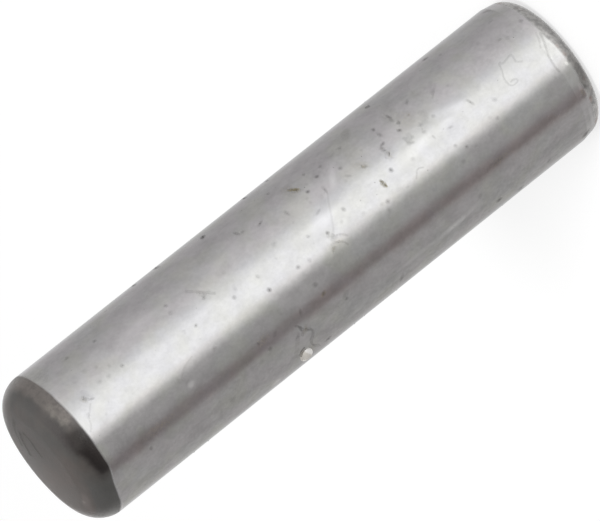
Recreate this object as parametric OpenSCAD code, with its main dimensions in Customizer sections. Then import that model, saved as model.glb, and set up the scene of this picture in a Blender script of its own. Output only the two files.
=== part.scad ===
// Hardened dowel pin: a ground shank with a crowned end above and a tapered lead end below.
// The pin is one turned solid: a half section, drawn in X and Y, that is spun about its axis.
// It stands on the flat foot of its lead end, with the origin at the middle of that foot.

/* [Shank] */
// Diameter of the ground shank
shank_d = 6.35; // [4:0.05:12]
// Length of the pin over both ends
pin_length = 25.6; // [14:0.1:60]

/* [Crowned end] */
// Radius of the rounded corner that runs from the shank into the crown
crown_corner_r = 1.2; // [0.4:0.05:1.5]
// Radius of the shallow dome that closes the crowned end
crown_dome_r = 40; // [12:1:120]

/* [Lead end] */
// Length of the tapered lead, along the axis
lead_length = 0.45; // [0.1:0.05:1.5]
// Angle between the lead and the axis, in degrees
lead_angle = 10; // [4:1:16]
// Radius of the rounded corner that runs from the lead into the foot
foot_corner_r = 0.75; // [0.3:0.05:1]

/* [Smoothness] */
// Facets around the pin and around each rounded corner
round_facets = 128; // [48:8:256]

/* [Hidden] */

// Each corner arc is set this far out, so that it crosses the line or arc that it runs into.
arc_overlap = 0.0005;

shank_r = shank_d / 2;

// The foot's corner arc rests on the foot's plane and runs into the lead.
lead_low_r = shank_r - lead_length * tan(lead_angle);
lead_low_z = foot_corner_r * (1 - sin(lead_angle));
lead_top_z = lead_low_z + lead_length;
foot_r = lead_low_r - foot_corner_r * cos(lead_angle) + arc_overlap;

// The crown's corner arc runs from the shank into the dome. The arcs meet on the line through
// both of their centres, at the edge of the dome.
dome_centre_z = pin_length - crown_dome_r;
centre_gap = crown_dome_r - crown_corner_r;
crown_corner_x = shank_r - crown_corner_r;
crown_corner_z = dome_centre_z + sqrt(pow(centre_gap, 2) - pow(crown_corner_x, 2)) + arc_overlap;
dome_edge_r = crown_corner_x * crown_dome_r / centre_gap;

// The dome is a small part of a wide circle, so its circle takes more facets.
dome_facets = 8 * round_facets;

// Half section of the tapered lead and the ground shank above it
module shank_section() {
    polygon([
        [0, lead_low_z],
        [lead_low_r, lead_low_z],
        [shank_r, lead_top_z],
        [shank_r, crown_corner_z],
        [0, crown_corner_z]
    ]);
}

// Half section of the foot: its flat face and the rounded corner outside it
module foot_section() {
    square([foot_r, lead_top_z]);
    translate([foot_r, foot_corner_r])
        circle(r = foot_corner_r, $fn = round_facets);
}

// Half section of the crowned end: its rounded corner and the dome inside it
module crown_section() {
    translate([crown_corner_x, crown_corner_z])
        circle(r = crown_corner_r, $fn = round_facets);
    intersection() {
        translate([0, dome_centre_z])
            circle(r = crown_dome_r, $fn = dome_facets);
        translate([0, lead_top_z])
            square([dome_edge_r, pin_length]);
    }
}

// Half section of the whole pin, trimmed at the axis
module pin_section() {
    intersection() {
        union() {
            foot_section();
            shank_section();
            crown_section();
        }
        square([shank_d, 2 * pin_length]);
    }
}

// The whole pin, turned from one bar
module dowel_pin() {
    color("silver")
        rotate_extrude($fn = round_facets)
            pin_section();
}

dowel_pin();
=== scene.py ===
"""Looks of a ground steel dowel pin: the pin, the oil and dirt on it, and a small studio."""

import random
from math import asin, cos, pi, radians, sin, sqrt, tan
from types import SimpleNamespace

import bpy
from bpy.props import (
    FloatProperty,
    FloatVectorProperty,
    IntProperty,
    PointerProperty,
)
from bpy.types import Operator, Panel, PropertyGroup
from mathutils import Matrix, Vector


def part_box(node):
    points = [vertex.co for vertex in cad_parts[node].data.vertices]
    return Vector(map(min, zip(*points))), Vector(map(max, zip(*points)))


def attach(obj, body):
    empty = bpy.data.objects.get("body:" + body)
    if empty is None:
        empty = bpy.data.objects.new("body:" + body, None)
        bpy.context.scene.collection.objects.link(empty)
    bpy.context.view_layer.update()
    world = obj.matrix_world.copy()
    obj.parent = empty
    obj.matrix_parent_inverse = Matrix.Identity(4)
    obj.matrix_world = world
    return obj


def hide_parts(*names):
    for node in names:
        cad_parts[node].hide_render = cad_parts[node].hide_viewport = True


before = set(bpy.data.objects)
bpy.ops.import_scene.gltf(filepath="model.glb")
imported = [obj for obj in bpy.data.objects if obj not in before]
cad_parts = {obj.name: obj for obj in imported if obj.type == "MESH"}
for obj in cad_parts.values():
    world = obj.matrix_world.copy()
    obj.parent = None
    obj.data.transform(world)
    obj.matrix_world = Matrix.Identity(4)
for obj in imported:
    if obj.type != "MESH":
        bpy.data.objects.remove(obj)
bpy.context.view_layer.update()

bl_info = {
    "name": "Dowel Pin Looks",
    "version": (1, 0, 0),
    "blender": (4, 5, 0),
    "location": "View3D > Sidebar > Dowel Pin",
    "description": "A ground steel dowel pin with its oil, grit and fibres, and a studio for it",
    "category": "Object",
}

MM = 0.001
PIN_NODE = "dowel_pin"
BODY = "root"
PIN_LOW, PIN_HIGH = (Vector(corner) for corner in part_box(PIN_NODE))

# ----------------------------------------------------------------------------------------------
# Where things lie on the pin. A bearing is the angle round the pin in degrees: 0 is the front,
# at -Y, and it grows clockwise seen from above, through -X. Heights are in mm above the foot.
# ----------------------------------------------------------------------------------------------

# Round smudges of oily dirt on the wall, by how dark they are: height, bearing.
SPOTS = {
    "dark": (
        (11.7, -35), (11.0, -40.4), (8.1, -41.7), (7.45, -28), (15.43, 3), (8.78, -9.4),
        (12.28, -2.6),
    ),
    "middling": (
        (18.5, -9), (14.0, 3), (9.65, 6), (5.87, 10.3), (21.65, -19), (22.6, 40), (0.85, -37),
        (17.55, -20.7), (13.85, 20), (13.75, 29), (12.7, -58), (10.6, -46), (10.15, -33.5),
        (16.65, 37), (11.2, -8.5), (7.23, -33.4), (18.8, -34), (16.67, -7.8), (14.6, -43),
        (22.85, -53), (21.65, -49), (16.95, 27.6), (13.0, 44.5),
    ),
    "faint": (
        (7.42, -15.1), (6.10, -20.6), (7.31, -18.3), (13.49, 4.3), (4.2, 8), (3.85, -3), (18.5, 11),
        (15.45, -9), (12.95, -9), (9.8, 11), (6.2, 5), (6.3, 17), (11.25, -50), (6.7, -21.5),
        (6.8, -16), (18.9, -27), (3.9, -61), (20.3, -72), (6.35, 48), (7.55, -16.4),
    ),
    "trace": (
        (11.51, -40.6), (11.95, -27), (10.39, -23), (12.33, -0.4), (9.05, -34.2), (23.88, -6.5),
        (19.0, -10.5), (16.43, -12), (9.9, 5), (4.45, 5), (14.0, 9), (7.85, -6), (22.3, -19),
        (22.0, -25), (22.4, -30), (23.4, -31), (12.9, -33), (1.4, 11), (7.55, -20.5), (11.57, -2.7),
        (9.57, -49), (7.35, -69), (6.4, -42), (9.45, -23), (22.7, -20), (1.75, -32), (4.8, -32),
        (1.6, -55), (11.93, -31),
    ),
}

# Longer smudges, by how dark they are: height, bearing, length, width, turn from the pin's axis.
BLOTCHES = {
    "black": ((15.61, -68, 0.46, 0.30, 70),),
    "dark": (
        (17.6, -81, 0.36, 0.95, 0), (18.7, -81, 0.30, 0.70, 0), (13.2, -81, 0.30, 0.75, 0),
        (15.22, 39.5, 0.40, 0.15, 100), (5.55, 67, 0.38, 0.36, 0), (4.3, -72, 0.38, 0.36, 90),
        (7.35, -68, 0.40, 0.30, 90), (12.1, -79, 0.20, 0.40, 0), (1.1, 72, 0.60, 0.46, 40),
        (8.30, -27.8, 0.36, 0.19, 20),
    ),
    "middling": (
        (4.65, -12.2, 0.54, 0.18, 108), (14.8, -45.3, 0.50, 0.20, 110),
        (14.95, 44.9, 0.40, 0.16, 133), (8.45, -25, 0.40, 0.24, 100), (8.10, -35, 0.44, 0.20, 100),
        (13.89, -39, 0.44, 0.18, 24), (7.30, -43.5, 0.60, 0.17, 92), (23.56, -17.2, 0.40, 0.24, 110),
        (23.38, -14, 0.34, 0.14, 160), (10.5, 67, 0.70, 0.26, 75), (14.2, 70, 0.46, 0.36, 30),
        (4.45, 77, 0.60, 0.50, 110), (1.2, -70, 0.80, 0.25, 115), (14.9, 29, 0.44, 0.18, 75),
    ),
    "faint": (
        (13.0, 41, 0.45, 0.35, 40), (15.45, 44, 0.54, 0.28, 45), (12.0, -18, 0.46, 0.17, 20),
        (7.25, -33, 0.32, 0.20, 70), (10.16, -25, 0.42, 0.18, 139), (5.9, -7, 0.40, 0.18, 170),
        (6.35, -43, 0.40, 0.18, 45), (18.85, 53, 0.42, 0.36, 75), (16.2, 30, 0.48, 0.20, 45),
        (12.9, -31, 0.38, 0.18, 95), (12.2, 2, 0.52, 0.38, 115), (11.2, -28, 0.60, 0.20, 85),
        (7.5, -18.5, 0.50, 0.34, 80), (6.65, -9, 0.28, 0.14, 100), (5.4, -36, 0.40, 0.30, 55),
        (3.0, 68, 0.36, 0.36, 0), (2.0, -35, 0.28, 0.18, 175), (7.34, -39, 0.40, 0.22, 90),
        (9.5, -48, 0.36, 0.24, 60),
    ),
    "trace": (
        (8.43, -21, 0.50, 0.24, 90), (6.3, -24, 0.46, 0.34, 45), (7.35, -21, 0.36, 0.30, 40),
        (14.12, -19.5, 0.46, 0.24, 30), (10.7, 2, 0.28, 0.22, 35), (6.5, -22, 0.46, 0.36, 0),
        (6.3, -28, 0.42, 0.38, 155), (10.0, -47, 0.60, 0.40, 30), (12.2, -49, 0.90, 0.70, 0),
        (17.5, -23, 0.56, 0.32, 125), (23.45, -19, 0.70, 0.42, 110), (7.0, -50, 1.2, 0.70, 70),
        (8.9, -56, 1.1, 0.5, 60), (7.4, -42, 0.90, 0.44, 100), (14.3, 69, 0.80, 0.60, 60),
    ),
    "ghost": (
        (11.5, -24, 0.70, 0.24, 80), (2.9, -27, 0.60, 0.40, 80), (4.0, -17, 0.45, 0.30, 60),
        (21.5, -35, 0.50, 0.36, 20), (16.4, -27, 0.60, 0.40, 130), (20.8, -20, 0.50, 0.28, 60),
        (9.6, -38, 0.70, 0.45, 80), (5.9, -45, 0.60, 0.44, 90), (8.3, -33, 1.2, 0.9, 90),
        (19.5, -48, 1.6, 0.7, 20), (24.0, -55, 0.8, 0.5, 90), (13.4, 33, 0.9, 0.4, 20),
        (17.6, 33, 1.0, 0.35, 10), (2.4, 33, 0.9, 0.4, 0), (5.6, 33, 0.8, 0.35, 10),
        (8.6, 34, 1.1, 0.35, 0), (11.2, 60, 1.4, 0.5, 20), (20.8, 52, 1.3, 0.5, 0),
    ),
}

# The bead of set oil: its place, its length, width and thickness in mm, and its turn.
BEAD_HEIGHT = 15.31
BEAD_BEARING = 67.2
BEAD_SIZE = (0.58, 0.83, 0.24)
BEAD_TURN = 14

# How dense a smudge is at its middle.
DENSITY = {
    "black": 0.50,
    "dark": 0.30,
    "middling": 0.18,
    "faint": 0.12,
    "trace": 0.07,
    "ghost": 0.035,
}

# How far across a round smudge is, in mm.
SPOT_SIZE = 0.275

# Grains that stand in the darkest smudges: height, bearing, size across.
GRAINS = (
    (15.43, 3, 0.035), (8.78, -9.4, 0.03), (12.28, -2.6, 0.03), (9.65, 6, 0.03), (18.5, -9, 0.03),
    (14.0, 3, 0.025), (4.65, -12, 0.025), (5.87, 10.3, 0.03), (7.45, -28, 0.03), (15.61, -68, 0.07),
    (13.9, -39, 0.04), (11.7, -35, 0.04), (13.05, 45, 0.03), (17.6, -81, 0.07), (18.7, -81, 0.06),
    (13.2, -81, 0.06), (5.55, 67, 0.05),
)

# Brown stains, by how dense they are: height, bearing, length, width, turn.
STAINS = {
    "rust": (
        (12.01, -44.5, 0.64, 0.23, 132), (11.92, -42.6, 0.36, 0.19, 132), (9.36, -5, 0.46, 0.26, 98),
        (9.33, -3.3, 0.24, 0.16, 98), (9.36, -7.3, 0.26, 0.17, 98),
    ),
    "brown": (
        (11.97, -40.5, 0.50, 0.16, 150), (12.46, 8.5, 0.40, 0.16, 35), (0.72, 33, 0.26, 0.40, 0),
        (15.05, 43, 0.60, 0.30, 60), (9.46, -23, 0.40, 0.18, 139), (13.75, 29, 0.40, 0.22, 30),
        (6.74, -33.1, 0.24, 0.18, 0), (23.64, -16.8, 0.50, 0.26, 110),
    ),
    "haze": (
        (12.1, -46, 1.1, 0.7, 110), (6.9, -31, 1.2, 0.8, 100), (8.4, -19, 0.9, 0.6, 90),
        (8.45, -18, 0.5, 0.3, 80), (9.5, -25, 0.9, 0.5, 130), (16.7, 28, 0.9, 0.5, 20),
        (15.1, 66, 0.9, 0.9, 0), (12.2, 7, 0.9, 0.5, 20), (5.0, 33, 1.6, 0.5, 0),
        (21.9, 30, 1.8, 0.5, 0),
    ),
}
STAIN_DENSITY = {"rust": 0.38, "brown": 0.14, "haze": 0.06}

# Fibres, as (height, bearing) points along each, with its width in mm and its density.
FIBRES = {
    "curl": (0.090, 0.10, (
        (2.0, -11.7), (2.12, -12.9), (2.21, -14.8), (2.18, -17.6), (2.17, -19.9), (2.27, -20.5),
        (2.47, -19.7), (2.64, -19.3), (2.74, -20.9), (2.81, -18.1), (2.90, -14.5), (3.02, -10.2),
        (3.04, -6.7), (2.98, -3.5), (2.76, -2.7), (2.65, -3.8), (2.80, -5.8), (2.92, -5.5),
    )),
    "crown_hair": (0.090, 0.07, (
        (23.52, -12), (23.75, -8.2), (23.93, -4.8), (24.05, 0), (24.22, 3.0),
    )),
    "bristle": (0.110, 0.13, (
        (17.87, -33.1), (17.70, -30), (17.54, -26.6), (17.38, -23.2), (17.25, -20.7), (17.1, -17.9),
    )),
    "hook": (0.090, 0.22, ((15.35, 35.5), (15.24, 37.2), (15.15, 39.5), (15.18, 43.5), (15.26, 46))),
    "loop": (0.090, 0.21, (
        (15.0, 43.3), (14.82, 45.9), (14.79, 48.4), (14.84, 52.1), (14.97, 55.7), (14.98, 59.5),
        (14.92, 62.7), (14.77, 66.2), (14.65, 68.4),
    )),
    "small_curl": (0.085, 0.10, ((8.22, 6.3), (8.08, 3.4), (7.97, 1.6), (7.84, 1.8), (7.71, 3.2))),
}

# Edges of dried oil film, as (height, bearing) points along each, with its width in mm and its
# density.
FILM_EDGES = {
    "lead_twin": (0.090, 0.10, ((0.82, -22), (0.88, -18.5), (1.0, -14.7), (1.12, -11))),
    "lead": (0.100, 0.155, (
        (0.68, -20.5), (0.74, -17), (0.94, -9), (1.07, -4), (1.13, 1), (1.15, 5), (1.13, 9.8),
    )),
    "v_long": (0.110, 0.06, (
        (11.19, -28.9), (11.25, -24), (11.42, -19.3), (11.56, -15.3), (11.71, -10.7), (11.84, -6.8),
        (11.99, -2.6), (12.12, 0), (12.29, 2.7), (12.47, 6.5), (12.53, 10.3),
    )),
    "v_arm": (0.100, 0.10, ((12.16, 1.4), (12.08, 2.1), (11.93, 3.1), (11.79, 5.2), (11.71, 7.5))),
    "v_fork": (0.100, 0.12, ((12.34, 5.2), (12.16, 6.4), (11.97, 9.4), (11.9, 12.5))),
    "wave": (0.100, 0.08, ((5.59, -31.8), (5.35, -35.9), (5.13, -38.1))),
    "bead_trail": (0.120, 0.08, ((15.42, 43.9), (15.5, 47), (15.62, 51), (15.70, 56), (15.75, 61))),
    "far_arc": (0.090, 0.065, ((20.22, 14.4), (20.05, 10.8), (19.75, 7.6), (19.36, 5.5))),
    # Partly the film's edge, partly painted shade along the bead's dark rim.
    "bead_edge": (0.085, 0.75, (
        (15.57, 63.4), (15.54, 62.2), (15.52, 61.2), (15.50, 60.3), (15.45, 59.5), (15.39, 58.9),
        (15.30, 58.4),
    )),
}

# Fine dark scratches on the crown, as (x, y) points in mm along each, with its width and density.
CROWN_LINES = {
    "long_scratch": (0.230, 0.27, ((1.47, -0.21), (1.24, 0.13), (0.87, 0.35), (0.55, 0.60))),
    "fork_scratch": (0.200, 0.21, ((1.36, -0.55), (1.07, -0.70), (0.60, -0.62), (0.20, -0.60))),
    "rim_scratch": (0.220, 0.18, ((1.95, -0.55), (1.75, 0.02), (1.45, 0.40), (1.05, 0.75))),
}

# How tall a crown scratch stands, as a share of a round thread.
SCRATCH_TALL = 0.3

# Patches where the film is thick or thin, some of them painted highlights, glints and shade in the
# steel's reflection: height, bearing, length, width, turn, how much brighter.
FILM_AND_SHEEN_PATCHES = (
    (7.6, -9.3, 3.2, 0.75, 5, 0.14), (5.4, -17, 2.2, 0.60, 162, 0.15),
    (12.0, -11.5, 2.0, 0.75, 0, 0.13), (10.62, -32, 1.6, 0.42, 52, 0.19),
    (12.24, -33, 1.6, 0.9, 0, 0.08), (19.9, -36, 3.0, 0.60, 0, 0.07), (15.9, -36, 2.6, 0.60, 0, 0.06),
    (14.25, 27, 2.2, 0.32, 160, 0.08), (9.0, 55.4, 6.6, 0.34, 0, 0.12),
    (7.6, 55.2, 2.7, 0.44, 8, 0.28), (9.0, 21.4, 2.4, 0.60, 0, 0.05),
    (16.8, 73.6, 0.7, 0.55, 0, 0.38), (20.0, 20.4, 0.46, 0.36, 20, 0.34),
    (20.2, 15.5, 1.0, 0.30, 140, -0.08), (23.4, 55, 1.6, 1.0, 0, 0.10),
    (22.9, 27, 3.2, 1.0, 0, -0.07), (2.3, -32, 3.6, 0.9, 0, -0.06), (3.6, 33.7, 6.4, 0.24, 0, -0.04),
    (15.15, 49.5, 0.7, 0.8, 0, 0.08), (9.5, 67, 8.0, 0.5, 0, -0.05), (17.9, 42, 2.2, 0.45, 0, -0.08),
    (0.95, 9.5, 0.36, 0.5, 30, 0.10), (14.62, -43.8, 0.32, 0.26, 0, 0.16),
    (11.4, -36, 1.2, 0.6, 110, 0.06), (11.95, 6.3, 0.8, 0.22, 158, 0.15),
    (7.0, -14.5, 0.8, 0.6, 0, 0.06), (23.4, -8, 0.8, 0.7, 0, 0.05), (0.85, -5, 0.7, 1.7, 0, -0.09),
    (1.3, 36.3, 1.8, 0.4, 0, -0.10), (5.6, 33, 1.6, 0.4, 0, -0.05), (1.3, 29.5, 1.6, 0.32, 0, 0.05),
    (0.80, 7.8, 0.5, 0.36, 30, 0.16), (0.67, 8.4, 0.2, 0.28, 0, 0.45),
    (0.76, 36, 0.34, 0.30, 0, -0.16), (0.72, 28, 0.26, 0.60, 0, 0.26),
    (0.72, 57, 0.28, 1.90, 0, 0.22), (10.95, -42, 0.8, 0.8, 0, -0.09), (6.4, -42, 2.6, 1.1, 0, -0.06),
    (10.2, -46, 1.4, 1.4, 0, -0.05), (5.85, -11.3, 1.1, 0.36, 0, 0.09), (23.8, 60, 0.6, 0.5, 0, 0.15),
    (3.9, 27, 2.2, 0.9, 0, 0.06),
)

# Pale flecks on the crown: middle in mm and size across.
CROWN_FLECKS = (
    ((-2.08, -0.95, 25.51), 0.22),
    ((1.46, -2.72, 24.78), 0.34),
    ((1.22, -2.84, 24.78), 0.36),
    ((0.98, -2.94, 24.76), 0.38),
    ((0.76, -3.03, 24.70), 0.42),
)

# Tints of the studio's panels.
TINTS = {
    "plain": (1.0, 1.0, 1.0),
    "rosy": (1.018, 1.0, 0.99),
    "warm": (1.018, 1.0, 0.970),
    "straw": (1.006, 1.0, 0.964),
    "blush": (1.055, 1.0, 0.985),
    "brown": (1.09, 1.0, 0.98),
}

# Brightness of the studio round the pin, as the wall sees it a little below the level: bearing,
# level, tint.
RING_LOW = (
    (-180, 0.80, "plain"), (-166, 0.60, "plain"), (-145, 0.45, "rosy"), (-120, 0.395, "rosy"),
    (-105, 0.41, "rosy"), (-92, 0.455, "rosy"), (-81, 0.51, "rosy"), (-71, 0.56, "rosy"),
    (-61, 0.625, "rosy"), (-51, 0.70, "rosy"), (-42, 0.79, "plain"), (-34, 0.925, "plain"),
    (-25, 1.095, "plain"), (-16, 1.125, "plain"), (-2, 1.145, "plain"), (5, 1.115, "plain"),
    (11, 1.01, "warm"), (17, 0.72, "straw"), (25, 0.43, "straw"), (34, 0.39, "straw"),
    (42, 0.375, "straw"), (51, 0.32, "warm"), (58, 0.235, "brown"), (66, 0.205, "brown"),
    (70, 0.235, "brown"), (76, 0.33, "warm"), (84, 0.355, "warm"), (95, 0.36, "warm"),
    (120, 0.355, "warm"), (150, 0.425, "warm"), (168, 0.57, "plain"), (180, 0.80, "plain"),
)

# The same for what lies above the level, which only the crown and its corner reflect.
RING_HIGH = (
    (-180, 0.46, "blush"), (-155, 0.56, "blush"), (-120, 0.55, "plain"), (-60, 0.70, "warm"),
    (-25, 0.78, "warm"), (-12, 0.70, "warm"), (0, 0.22, "brown"), (20, 0.08, "brown"),
    (55, 0.08, "brown"), (75, 0.28, "plain"), (90, 0.38, "plain"), (125, 0.42, "plain"),
    (155, 0.50, "blush"), (180, 0.46, "blush"),
)

# ----------------------------------------------------------------------------------------------
# Where and how the finish changes
# ----------------------------------------------------------------------------------------------

# Stretches round the ground wall: from one bearing to another, and how softly they end.
BRIGHT_STRIPE = (-24, 6, 8)
CALM_STRIPE = (-24, 4, 8)
RED_STRIPE = (27, 39, 5)
PAINTED_SHADE_STRIPE = (8, 34, 7)

# The bearings between which the wall grows more uneven, and the heights over which the dark stripe of
# painted shade grows.
ROUGH_SIDE = (36, 60)
DARK_STRIPE_GROWS = (2, 24)

# How bright the wall is, how far clouds and specks of film change that, how much less they do in
# the calm stripe and how much more on the rough side, and how much darker the dark stripe of painted
# shade is.
WALL_GAIN = 1.01
CLOUD_REACH = 0.065
SPECK_REACH = 0.03
CALM_LOSS = 0.2
ROUGH_GAIN = 0.4
DARK_STRIPE_LOSS = 0.05

# The values of the noise between which the wall's reddened oil and the foot's rust-red spots set in.
RED_SETS_IN = (0.45, 0.62)
RUST_SETS_IN = (0.58, 0.70)

# Stretches round the crown: where the grinding reached higher, and where its scale changes, with a
# painted highlight on its pale rim and a painted dark reflection on its black patch.
OVERCUT = (36, 110, 8)
BROWNED_SIDE = (15, 165, 25)
OLIVE_RIM = (34, 100, 10)
BOW = (50, 76, 8)
THIN_RIM = (-20, 0, 8)
PALE_RIM = (-78, -7, 6)
CREAM_RIM = (-27, -11, 5)
BLACK_RING = (-48, 8, 9)
DEEP_RING = (-22, 4, 6)
BLACK_PATCH = (-6, 33, 5)

# The same across the crown: from one radius in mm to another, and how softly they end.
BOW_RADII = (2.2, 2.52, 0.12)
BLACK_RING_RADII = (2.76, 3.02, 0.05)

# The radii between which the crown's rim turns olive, and those between which its face lightens,
# from one share to another.
OLIVE_RADII = (2.62, 2.76)
CROWN_LIGHTENS = (0.8, 2.4, 0.91, 1.05)

# How far the edges of rim and ring wander, in mm across the crown and in degrees round it.
RIM_WANDER = 0.08
RING_WANDER = 8

# The crown's pale rim, partly pale scale and partly a painted highlight: its inner radius, how much
# of it the thin stretch loses, and its soft edge.
RIM_RADIUS = 3.0
THIN_RIM_LOSS = 0.08
RIM_FADE = (-0.08, 0.12)

# The mottling of the pale rim and of its cream stretch: from one value of the noise to another,
# from one share to another.
PALE_MOTTLING = (0.34, 0.60, 0.62, 1.0)
CREAM_MOTTLING = (0.46, 0.62, 0.0, 0.3)

# How black the ring inside the pale rim is, and how much more so in its deep stretch.
RING_SHOWS = 0.40
DEEP_RING_GAIN = 0.5

# The crown's pale flecks: how far their edges wander, how far from its middle one starts to fade,
# over what share of its size, and how much they show.
CROWN_FLECK_WANDER = 0.5
CROWN_FLECK_CORE = 0.24
CROWN_FLECK_FADE = 0.65
CROWN_FLECKS_SHOW = 0.42

# The black patch, partly dark scale and partly a painted dark reflection: the bearings between which
# its top falls, from one height to another, the mm below its top over which it fades out, and the
# bearings between which it deepens, from one share to another.
BLACK_TOP_FALLS = (6, 28, 25.30, 25.08)
BLACK_FADE = 0.36
BLACK_DEEPENS = (2, 15, 0.42, 0.74)

# How far the black patch's edges wander, in mm of height and in degrees.
BLACK_TOP_WANDER = 0.12
BLACK_SIDE_WANDER = 7

# How metallic the black patch is, how strongly the scale's skin mirrors, and how much the dust in
# its grain shows.
BLACK_METALLIC = 0.9
SCALE_IOR = 1.9
DUST_SHOWS = 0.3

# The ground wall's upper edge, in mm from where the crown's corner starts: its height, how much
# higher it is in the overcut, how much it wobbles, and its soft edge.
GROUND_START = -0.022
OVERCUT_RISE = 0.13
GROUND_WOBBLE = 0.02
GROUND_FADE = (-0.045, 0.075)

# Stretches round the foot: where its speckle stops short, and where it is darker with painted shade
# and brighter with a painted glint.
CLEAN_FOOT = (-11, 21, 5)
DARK_FOOT_SIDE = (11, 26, 6)
FOOT_GLINT = (-22, 8, 6)

# The upper edge of the foot's speckle, in mm from the top of its corner, as for the ground wall.
SPECKLE_START = -0.008
CLEAN_FOOT_RISE = -0.05
SPECKLE_WOBBLE = 0.05
SPECKLE_FADE = (-0.08, 0.04)

# How much the rust-red spots and the foot's darker stretch of painted shade show.
RUSTY_SHOWS = 0.6
DARK_FOOT_SHOWS = 0.3

# The foot grows paler with a painted sheen away from the bearing of its middle: over how many
# degrees, and how much. Its underside does so more: over which heights, and how much more.
FOOT_MIDDLE = -6
FOOT_PALES = (46, 62)
FOOT_PALE_GAIN = 0.38
FOOT_UNDERSIDE = (0.44, 0.28)
UNDERSIDE_GAIN = 0.20

# The heights over which the foot's painted glint sets in, and how much brighter it is.
FOOT_GLINT_HEIGHTS = (0.36, 0.56)
FOOT_GLINT_GAIN = 0.5

# The bead's beige edge, where its painted highlight ends: the bearings between which it lies, how far
# it wanders, and how far it is off to one side for each mm of height, both in degrees.
BEAD_BEIGE = (62, 66.5)
BEAD_WANDER = 3
BEAD_SLANT = 36

# The mm above the bead's middle between which it dulls, from one share to another.
BEAD_DULL_END = (0.08, 0.30, 1.0, 0.78)

# Tints of the steel, the scale, the foot and the bead, as shares of their own colours.
YELLOW_OIL = (1.0, 1.0, 0.955)
ROSY_OIL = (1.012, 0.99, 1.0)
RED_OIL = (1.0, 0.95, 0.935)
PALE_BOW = (1.62, 1.74, 1.88)
# The pale and cream tints of the crown's rim are partly pale scale and partly a painted highlight.
PALE_SCALE_AND_HIGHLIGHT = (2.2, 2.45, 2.6)
CREAM_SCALE_AND_HIGHLIGHT = (4.0, 4.6, 4.8)
FLECK_SCALE = (4.0, 4.7, 4.8)
DARK_FOOT = (0.76, 0.76, 0.77)
LIGHT_FOOT = (1.36, 1.36, 1.36)
RUSTY_FOOT = (0.85, 0.62, 0.58)
BEIGE_OIL = (0.69, 0.67, 0.63)

# Colour of the dust in the scale's grain.
OXIDE_DUST = (0.07, 0.065, 0.06)

# How rough each kind of dirt and oil is.
SMUDGE_ROUGHNESS = 0.7
GRIT_ROUGHNESS = 0.6
RUST_ROUGHNESS = 0.8
FIBRE_ROUGHNESS = 0.8
SCRATCH_ROUGHNESS = 0.9
FILM_ROUGHNESS = 0.25
BEAD_ROUGHNESS = 0.35

# How far the roughness varies: of the steel along its grinding lines, of the scale with its grain,
# and of grit and the bead.
LINES_ROUGHEN = 0.03
GRAIN_ROUGHENS = 0.06
DIRT_ROUGHENS = 0.1

# Depths in mm: of the wall's slow ripple and its grinding lines, of the scale's grain, and of
# grit's. The foot's grain is shallower by a share.
RIPPLE_DEPTH = 0.008
LINE_DEPTH = 0.0003
SCALE_DEPTH = 0.012
GRIT_DEPTH = 0.008
FOOT_GRAIN_LOSS = 0.6

# ----------------------------------------------------------------------------------------------
# How the pieces are modelled
# ----------------------------------------------------------------------------------------------

# Steps along each stretch of the pin's half section, and the angle past which its edges are sharp.
FOOT_STEPS = 8
FOOT_CORNER_STEPS = 20
LEAD_STEPS = 3
WALL_STEPS = 24
CROWN_CORNER_STEPS = 24
DOME_STEPS = 12
PIN_SHARP_ANGLE = radians(6)

# Points closer than this are one.
MERGE_DISTANCE = 0.0002 * MM

# The mesh attribute that holds how dense dirt is.
DENSITY_NAME = "dirt_density"

# Flecks: how flat and how ragged the unit one is, the scale of a copy's thickness as a share of its
# width, and how far its middle stands above the surface, as a share of that scale.
FLECK_FLATNESS = 0.4
FLECK_RAGGEDNESS = 0.13
FLECK_THICKNESS = 0.7
FLECK_RISE = 0.025

# Smudges: how ragged the unit one is and, in mm, the scale of a copy's thickness before it is laid
# on the pin, how far a smudge's and a stain's skin then stands above the surface, and how far
# their rims are sunk in.
SMUDGE_RAGGEDNESS = 0.07
SMUDGE_THICKNESS = 0.1
SMUDGE_LIFT = 0.004
STAIN_LIFT = 0.006
RIM_DEPTH = 0.003

# How far a thread's middle lies above the surface, as a share of its width.
THREAD_LIFT = 0.2

# The bead, one unit across: where its underside is cut off, how ragged it is, and the angle past
# which its edges are sharp.
BEAD_CUT = (0, 0, -0.15)
BEAD_RAGGEDNESS = 0.012
BEAD_SHARP_ANGLE = radians(60)

# Stray grains and smudges: the bearing past which they are round the back, the heights they lie
# between, their sizes in mm in front and behind, and the smudges' densities.
BACK_BEARING = 85
GRAIN_HEIGHTS = (0.3, 25.2)
FRONT_GRAINS = (0.02, 0.035)
BACK_GRAINS = (0.04, 0.10)
SMUDGE_HEIGHTS = (0.8, 24.2)
FRONT_SMUDGES = (0.12, 0.30)
BACK_SMUDGES = (0.15, 0.45)
FRONT_DENSITY = (0.02, 0.06)
BACK_DENSITY = (0.08, 0.28)

# ----------------------------------------------------------------------------------------------
# The studio's light
# ----------------------------------------------------------------------------------------------

# The backdrop's white, with its alpha.
WHITE = (1.0, 1.0, 1.0, 1.0)

# How bright the floor is to the camera, by its own shade and by its glow, and the distances from
# the pin in metres between which it fades into the backdrop.
FLOOR_DULL = 0.35
FLOOR_GLOW = 0.67
FLOOR_FADE = (0.04, 0.25)

# The key lamp, in metres.
LAMP_PLACE = (0.05, -0.42, 0.62)
LAMP_AIM = (0, 0, 0.01)
LAMP_SIZE = 0.22

# Width of the camera's sensor, in mm.
SENSOR_WIDTH = 36.0

# What steel mirrors depends on the rise of the mirrored direction: its height above the level, in
# thousandths. The rises between which the low ring passes into the high one, and between which
# the high ring brightens, from one share to another.
LOW_TO_HIGH = (-100, 150)
HIGH_BRIGHTENS = (300, 650, 0.50, 1.04)

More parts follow.
